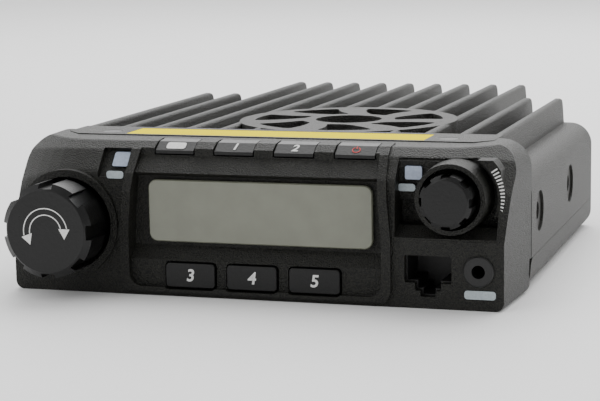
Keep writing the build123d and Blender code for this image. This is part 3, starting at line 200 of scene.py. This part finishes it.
def make_finishes():
    """One finish for each material slot of the record, and those of the printed legends."""
    return {
        # wrinkle powder coat on die-cast aluminium: dark, with a gritty relief
        "case_paint": surface(
            "powder_coated_casting", ("#0c0c0a", "#2b2a25"), (0.42, 0.62), 0.5, 0.9, level=0.42, detail=1.0
        ),
        # the same wrinkle coat on pressed steel
        "cover_steel": surface(
            "enamelled_steel", ("#0c0c0a", "#2b2a25"), (0.42, 0.62), 0.5, 0.9, level=0.42, detail=1.0
        ),
        # spark-eroded moulded ABS: small facets that glint
        "panel_plastic": surface(
            "spark_textured_abs", ("#050505", "#24241f"), (0.3, 0.6), 0.4, 1.0, level=0.3, detail=1.0
        ),
        # smooth moulded ABS knobs
        "knob_plastic": surface("moulded_knob_abs", ("#070707", "#0c0c0c"), (0.25, 0.36), 0.8, 0.1, level=0.35),
        # keys moulded in the same plastic, polished by the die
        "key_plastic": surface("moulded_key_abs", ("#0a0a0a", "#111111"), (0.3, 0.42), 0.7, 0.12, level=0.35),
        # acrylic window over an unlit liquid crystal: olive grey, one clear gloss coat
        "window": surface("acrylic_over_lcd", ("#6f7163", "#747668"), (0.2, 0.26), 6.0, 0.0, coat=0.3),
        # frosted acrylic light pipe, pale blue while unlit
        "lens": surface("frosted_acrylic", ("#9aa6bb", "#a9b4c6"), (0.25, 0.35), 0.8, 0.1),
        # anodised aluminium strip, yellow
        "strip_metal": surface("yellow_anodised_strip", ("#f0dc00", "#f6e414"), (0.7, 0.85), 1.2, 0.03, level=0.0),
        # nickel plate over brass
        "bright_metal": surface("nickel_plate", ("#b4b2ad", "#c2c0bb"), (0.18, 0.28), 1.5, 0.03, metallic=1.0),
        # plain brass and gold flash on contacts
        "brass_metal": surface("bare_brass", ("#c79a45", "#d2a752"), (0.22, 0.34), 1.2, 0.04, metallic=1.0),
        # blackened steel screws
        "black_steel": surface("black_oxide_steel", ("#0c0c0c", "#141414"), (0.35, 0.5), 0.8, 0.08),
        # zinc-plated steel
        "steel": surface("zinc_plated_steel", ("#8f9193", "#9c9ea0"), (0.3, 0.45), 1.0, 0.06, metallic=1.0),
        # green solder resist over glass laminate
        "board": surface("solder_resist", ("#123d22", "#18502d"), (0.3, 0.4), 1.6, 0.08),
        # plain black nylon
        "black_plastic": surface("black_nylon", ("#0d0d0d", "#131313"), (0.4, 0.55), 0.6, 0.1),
        # white nylon and fluoroplastic
        "white_plastic": surface("white_nylon", ("#d4d2cb", "#dedcd6"), (0.35, 0.5), 0.8, 0.06),
        # matt black neoprene
        "rubber_parts": surface("black_neoprene", ("#101010", "#171717"), (0.6, 0.8), 0.7, 0.2),
        # open-weave black cloth
        "cloth": surface("speaker_cloth_weave", ("#060606", "#151515"), (0.8, 0.95), 0.5, 0.6),
        # pressed paper pulp
        "paper": surface("pressed_pulp_cone", ("#1d1c1a", "#292725"), (0.8, 0.95), 0.7, 0.5),
        # pad-printed white ink
        "ink": surface("white_pad_print", ("#d8d8d6", "#e6e6e4"), (0.45, 0.6), 0.6, 0.03),
        # pale grey pad print on the raised pads
        "pad": surface("grey_pad_print", ("#a3adb2", "#b0babe"), (0.45, 0.6), 0.6, 0.03),
        # pad-printed red ink
        "red_ink": surface("red_pad_print", ("#a81c1c", "#ba2622"), (0.45, 0.6), 0.6, 0.03),
    }


finishes = make_finishes()


# ---- shaping helpers -----------------------------------------------------------------------------------
def upright(x, y, z):
    """Places a piece drawn in the XY plane so that it faces the viewer."""
    return Matrix.Translation((x, y, z)) @ Matrix.Rotation(pi / 2, 4, "X")


def arc_band(bm, radius, width, height, start, sweep):
    """A flat band along an arc about the Z axis."""
    corners = bmesh.ops.create_grid(bm, x_segments=1, y_segments=1, size=0.5)["verts"]
    place = Matrix.Rotation(start, 4, "Z") @ upright(radius, 0, 0)
    bmesh.ops.transform(bm, matrix=place @ Matrix.Diagonal((width, height, 1, 1)), verts=corners)
    faces = list({face for corner in corners for face in corner.link_faces})
    edges = list({edge for corner in corners for edge in corner.link_edges})
    steps = max(ARC_FEWEST, round(abs(sweep) / ARC_STEP))
    bmesh.ops.spin(bm, geom=corners + edges + faces, cent=(0, 0, 0), axis=(0, 0, 1), angle=sweep, steps=steps)


def block(bm, size, place, rounding=0.0):
    """A small block, its upright edges rounded if asked."""
    corners = bmesh.ops.create_cube(bm, size=1.0)["verts"]
    bmesh.ops.transform(bm, matrix=Matrix.Diagonal((*size, 1)), verts=corners)
    if rounding:
        edges = {edge for corner in corners for edge in corner.link_edges}
        upright_edges = [edge for edge in edges if abs(edge.verts[0].co.z - edge.verts[1].co.z) > size[2] / 2]
        made = bmesh.ops.bevel(
            bm, geom=upright_edges, offset=rounding, affect="EDGES", segments=CORNER_SEGMENTS, profile=0.5,
            material=-1,
        )
        corners = list({v for face in made["faces"] for v in face.verts})
    bmesh.ops.transform(bm, matrix=place, verts=corners)


def arrow_head(bm, size, height, place):
    """A flat triangle whose tip points along +X."""
    made = bmesh.ops.create_cone(bm, cap_ends=True, segments=3, radius1=size, radius2=size, depth=height)
    bmesh.ops.transform(bm, matrix=place @ Matrix.Rotation(-pi / 2, 4, "Z"), verts=made["verts"])


def finish_piece(name, bm, place, finish, body):
    """Makes a piece of a bmesh: it stands in its place, has its finish and rides on a body."""
    bmesh.ops.recalc_face_normals(bm, faces=bm.faces)
    mesh = bpy.data.meshes.new(name)
    bm.to_mesh(mesh)
    bm.free()
    mesh.transform(place)
    mesh.materials.append(finishes[finish])
    piece = bpy.data.objects.new(name, mesh)
    bpy.context.scene.collection.objects.link(piece)
    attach(piece, body)


def legend(name, text, height, place, finish, body):
    """A raised print of one plain number."""
    curve = bpy.data.curves.new(name, "FONT")
    curve.body = text
    curve.size = height / CAPITAL_SHARE
    curve.extrude = SKIN * MM / 2
    curve.offset = PRINT_BOLD * MM
    curve.shear = PRINT_LEAN
    curve.align_x = "CENTER"
    curve.align_y = "CENTER"
    drawn = bpy.data.objects.new(name + "_outline", curve)
    bpy.context.scene.collection.objects.link(drawn)
    bm = bmesh.new()
    bm.from_mesh(bpy.data.meshes.new_from_object(drawn))
    bpy.data.objects.remove(drawn)
    bmesh.ops.remove_doubles(bm, verts=bm.verts, dist=MERGE_GAP * MM)
    finish_piece(name, bm, place, finish, body)


def centre_of(node):
    """The middle of a CAD node's box."""
    low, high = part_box(node)
    return (Vector(low) + Vector(high)) / 2


def key_top(node):
    """Where a print lies on a top key's sloped front, facing up and forward."""
    low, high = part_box(node)
    x = centre_of(node).x
    lift = (SKIN / 2 + SKIN_GAP) * MM
    cap_front, slope_foot = low[1], high[2] - SLOPE_DROP * MM
    middle = Vector((x, cap_front + SLOPE_MIDDLE[0] * MM, slope_foot + SLOPE_MIDDLE[1] * MM))
    turn = Matrix.Rotation(atan2(SLOPE_RISE, SLOPE_RUN), 4, "X")
    return Matrix.Translation(middle + turn @ Vector((0, 0, lift))) @ turn


def face_print(node):
    """Where a print lies on the upright front of a lower key or a knob."""
    middle = centre_of(node)
    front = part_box(node)[0][1]
    return upright(middle.x, front - SKIN / 2 * MM, middle.z)


# ---- what a user would change --------------------------------------------------------------------------
class TransceiverSettings(bpy.types.PropertyGroup):
    legend_height: FloatProperty(
        name="Legend height", description="Height of the numbers on the lower keys",
        default=3.3 * MM, min=1 * MM, max=5 * MM, unit="LENGTH",
    )
    top_legend_height: FloatProperty(
        name="Top legend height", description="Height of the numbers on the top keys",
        default=2.7 * MM, min=1 * MM, max=4 * MM, unit="LENGTH",
    )
    floor_colour: FloatVectorProperty(
        name="Floor colour", description="Colour of the studio floor",
        default=linear("#f6f6f6")[:3], size=3, min=0, max=1, subtype="COLOR",
    )
    world_strength: FloatProperty(
        name="Surround", description="Brightness of the plain surround", default=1.7, min=0, max=3,
    )
    overhead_power: FloatProperty(
        name="Overhead light", description="Power of the soft light above and behind",
        default=14.0, min=0, max=200, unit="POWER",
    )
    front_power: FloatProperty(
        name="Front light", description="Power of the soft light at the front left",
        default=3.0, min=0, max=200, unit="POWER",
    )


# ---- operators -----------------------------------------------------------------------------------------
class TRANSCEIVER_OT_finishes(bpy.types.Operator):
    """Give every part the finish of its material slot"""

    bl_idname = "transceiver.finishes"
    bl_label = "Finish the parts"

    def execute(self, context):
        for entry in frame["record"]["subparts"]:
            part = frame["nodes"][entry["node"]]
            for place in part.material_slots:
                place.material = finishes[entry["material_slot"]]
        return {"FINISHED"}


class TRANSCEIVER_OT_key_legends(bpy.types.Operator):
    """Print the numbers and marks on the keys"""

    bl_idname = "transceiver.key_legends"
    bl_label = "Key legends"

    def execute(self, context):
        settings = context.scene.transceiver
        for name, text in (("three", "3"), ("four", "4"), ("five", "5")):
            place = face_print("key_" + name)
            legend("legend_" + name, text, settings.legend_height, place, "ink", name + "_button")
        for name, text in (("one", "1"), ("two", "2")):
            place = key_top("key_" + name)
            height = settings.top_legend_height
            legend("legend_" + name, text, height, place, "ink", name + "_button")
        bm = bmesh.new()
        size = (MENU_BLOCK[0] * MM, MENU_BLOCK[1] * MM, SKIN * MM)
        block(bm, size, Matrix.Identity(4), rounding=MENU_ROUNDING * MM)
        finish_piece("legend_menu", bm, key_top("key_menu"), "ink", "menu_button")
        bm = bmesh.new()
        arc_band(bm, POWER_RADIUS * MM, POWER_LINE * MM, SKIN * MM, POWER_START, POWER_SWEEP)
        stem = (POWER_LINE * MM, POWER_STEM * MM, SKIN * MM)
        block(bm, stem, Matrix.Translation((0, POWER_STEM_MIDDLE * MM, 0)))
        finish_piece("legend_power", bm, key_top("key_power"), "red_ink", "power_button")
        return {"FINISHED"}


class TRANSCEIVER_OT_knob_marks(bpy.types.Operator):
    """Print the turning arrows on the channel knob's face"""

    bl_idname = "transceiver.knob_marks"
    bl_label = "Channel knob arrows"

    def execute(self, context):
        radius = ARROW_RADIUS * MM
        bm = bmesh.new()
        for rail in (-ARROW_RAIL, ARROW_RAIL):
            arc_band(bm, radius + rail * MM, ARROW_LINE * MM, SKIN * MM, ARROW_START, ARROW_SWEEP)
        for angle, side in ((ARROW_START, -1), (ARROW_START + ARROW_SWEEP, 1)):
            place = Matrix.Rotation(angle + side * ARROW_LEAD, 4, "Z") @ Matrix.Translation((radius, 0, 0))
            arrow_head(bm, ARROW_HEAD * MM, SKIN * MM, place @ Matrix.Rotation(side * pi / 2, 4, "Z"))
        place = face_print("channel_knob")
        finish_piece("channel_arrows", bm, place, "ink", "channel_control")
        return {"FINISHED"}


class TRANSCEIVER_OT_volume_marks(bpy.types.Operator):
    """Print the growing scale round the volume knob"""

    bl_idname = "transceiver.volume_marks"
    bl_label = "Volume scale"

    def execute(self, context):
        middle = centre_of("volume_knob")
        bm = bmesh.new()
        for step in range(SCALE_STROKES):
            angle = radians(SCALE_START + SCALE_STEP * step)
            place = Matrix.Rotation(angle, 4, "Z") @ Matrix.Translation((SCALE_RADIUS * MM, 0, 0))
            length = SCALE_SHORTEST + SCALE_GROWTH * step
            block(bm, (length * MM, SCALE_LINE * MM, SKIN * MM), place)
        scale_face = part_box("front_bezel")[0][1] + SCALE_BACK * MM - SKIN / 2 * MM
        finish_piece("volume_scale", bm, upright(middle.x, scale_face, middle.z), "ink", "case")
        return {"FINISHED"}


class TRANSCEIVER_OT_badges(bpy.types.Operator):
    """Add the raised blank pads beside the lamps and the data jack"""

    bl_idname = "transceiver.badges"
    bl_label = "Blank pads"

    def execute(self, context):
        panel_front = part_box("front_bezel")[0][1] + PANEL_FRONT * MM
        data_place = (centre_of("data_jack_ring").x / MM + DATA_PAD_ASIDE, DATA_PAD_HEIGHT)
        for name, (x, z), size, back in (*PADS, ("badge_data", data_place, DATA_PAD, DATA_PAD_BACK)):
            y = panel_front + back * MM
            bm = bmesh.new()
            outline = (size[0] * MM, size[1] * MM, PAD_THICKNESS * MM)
            block(bm, outline, Matrix.Identity(4), rounding=PAD_ROUNDING * MM)
            finish_piece(name, bm, upright(x * MM, y, z * MM), "pad", "case")
        return {"FINISHED"}


class TRANSCEIVER_OT_stage(bpy.types.Operator):
    """Set the plain floor, the soft lights and the camera"""

    bl_idname = "transceiver.stage"
    bl_label = "Studio"

    def execute(self, context):
        settings = context.scene.transceiver
        bm = bmesh.new()
        bmesh.ops.create_grid(bm, x_segments=1, y_segments=1, size=FLOOR_HALF)
        mesh = bpy.data.meshes.new("floor")
        bm.to_mesh(mesh)
        bm.free()
        paper = bpy.data.materials.new("white_paper")
        paper.use_nodes = True
        shader = paper.node_tree.nodes["Principled BSDF"]
        shader.inputs["Base Color"].default_value = (*settings.floor_colour, 1.0)
        shader.inputs["Roughness"].default_value = FLOOR_ROUGHNESS
        mesh.materials.append(paper)
        floor = bpy.data.objects.new("floor", mesh)
        floor.location.z = cad_low[2]
        context.scene.collection.objects.link(floor)

        world = bpy.data.worlds.new("surround")
        world.use_nodes = True
        sky = world.node_tree.nodes["Background"]
        sky.inputs["Strength"].default_value = settings.world_strength
        # the surround is white behind and above the set, and grey in front of it
        facing = add_node(world.node_tree, "ShaderNodeTexCoord")
        split = add_node(world.node_tree, "ShaderNodeSeparateXYZ", Vector=facing.outputs["Generated"])
        limits = zip(("From Min", "From Max", "To Min", "To Max"), (*SHADE_FROM, *SHADE_TO))
        shade = add_node(world.node_tree, "ShaderNodeMapRange", dict(limits), Value=split.outputs["Y"])
        world.node_tree.links.new(shade.outputs["Result"], sky.inputs["Color"])
        context.scene.world = world

        lamps = (
            ("overhead", OVERHEAD_PLACE, OVERHEAD_SIZE, settings.overhead_power),
            ("front_left", FRONT_PLACE, FRONT_SIZE, settings.front_power),
        )
        for name, spot, size, power in lamps:
            light = bpy.data.lights.new(name, "AREA")
            light.size = size
            light.energy = power
            lamp = bpy.data.objects.new(name, light)
            aim = Vector(LIGHT_AIM) - Vector(spot)
            lamp.matrix_world = Matrix.Translation(spot) @ aim.to_track_quat("-Z", "Y").to_matrix().to_4x4()
            context.scene.collection.objects.link(lamp)

        turn, lift, roll = CAMERA_TURN, CAMERA_LIFT, CAMERA_ROLL
        back = Vector((sin(turn) * cos(lift), -cos(turn) * cos(lift), sin(lift)))
        right = Vector((cos(turn), sin(turn), 0))
        up = back.cross(right)
        across = cos(roll) * right + sin(roll) * up
        above = cos(roll) * up - sin(roll) * right
        pose = Matrix((across, above, back)).transposed().to_4x4()
        lens = bpy.data.cameras.new("camera")
        lens.lens = CAMERA_LENS
        lens.sensor_width = CAMERA_SENSOR
        lens.clip_start = CAMERA_NEAREST
        camera = bpy.data.objects.new("camera", lens)
        camera.matrix_world = Matrix.Translation(CAMERA_PLACE) @ pose
        context.scene.collection.objects.link(camera)
        context.scene.camera = camera
        return {"FINISHED"}


OPERATORS = (
    TRANSCEIVER_OT_finishes,
    TRANSCEIVER_OT_key_legends,
    TRANSCEIVER_OT_knob_marks,
    TRANSCEIVER_OT_volume_marks,
    TRANSCEIVER_OT_badges,
    TRANSCEIVER_OT_stage,
)


class TRANSCEIVER_PT_panel(bpy.types.Panel):
    """The transceiver's pieces and settings"""

    bl_idname = "TRANSCEIVER_PT_panel"
    bl_label = "Transceiver"
    bl_space_type = "VIEW_3D"
    bl_region_type = "UI"
    bl_category = "Transceiver"

    def draw(self, context):
        settings = context.scene.transceiver
        for name in TransceiverSettings.__annotations__:
            self.layout.prop(settings, name)
        for operator in OPERATORS:
            self.layout.operator(operator.bl_idname)


def register():
    for kind in (TransceiverSettings, *OPERATORS, TRANSCEIVER_PT_panel):
        bpy.utils.register_class(kind)
    bpy.types.Scene.transceiver = PointerProperty(type=TransceiverSettings)


def unregister():
    del bpy.types.Scene.transceiver
    for kind in (TRANSCEIVER_PT_panel, *reversed(OPERATORS), TransceiverSettings):
        bpy.utils.unregister_class(kind)


def main():
    register()
    bpy.ops.transceiver.finishes()
    bpy.ops.transceiver.key_legends()
    bpy.ops.transceiver.knob_marks()
    bpy.ops.transceiver.volume_marks()
    bpy.ops.transceiver.badges()
    bpy.ops.transceiver.stage()


if __name__ == "__main__":
    main()
